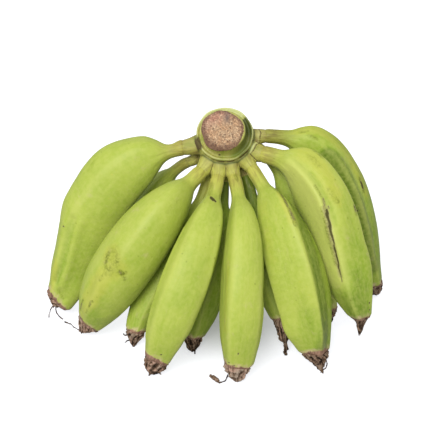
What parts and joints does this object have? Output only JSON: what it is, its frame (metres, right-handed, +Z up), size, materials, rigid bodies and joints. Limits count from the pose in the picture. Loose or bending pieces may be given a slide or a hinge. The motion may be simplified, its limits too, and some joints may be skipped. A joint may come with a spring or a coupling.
{
  "type": "plantain hand",
  "caption": "Hand of green cooking plantains standing on the dried flower ends of its fruits, with its short cut stalk raised and leaning forward.",
  "frame": {"origin": "on the surface that the hand stands on, under the middle of its bounding box", "axes": "+X to the hand's right along its length, +Y away from the cut face of the stalk, +Z up"},
  "size_m": [0.3292, 0.199, 0.1992],
  "materials": {
    "peel": "waxy lime green peel, semi-matt, faintly mottled and scuffed",
    "stalk": "olive and yellow green stalk, matt, with a fibrous brown cut face",
    "dried_flower": "dry crumpled brown flower remains, matt"
  },
  "bodies": {
    "root": {"stalk": "stalk", "fruit_front_1": "peel", "flower_end_front_1": "dried_flower", "fruit_front_2": "peel", "flower_end_front_2": "dried_flower", "fruit_front_3": "peel", "flower_end_front_3": "dried_flower", "fruit_front_4": "peel", "flower_end_front_4": "dried_flower", "fruit_front_5": "peel", "flower_end_front_5": "dried_flower", "fruit_front_6": "peel", "flower_end_front_6": "dried_flower", "fruit_front_7": "peel", "flower_end_front_7": "dried_flower", "fruit_back_1": "peel", "flower_end_back_1": "dried_flower", "fruit_back_2": "peel", "flower_end_back_2": "dried_flower", "fruit_back_3": "peel", "flower_end_back_3": "dried_flower", "fruit_back_4": "peel", "flower_end_back_4": "dried_flower", "fruit_back_5": "peel", "flower_end_back_5": "dried_flower"}
  },
  "joints": []
}
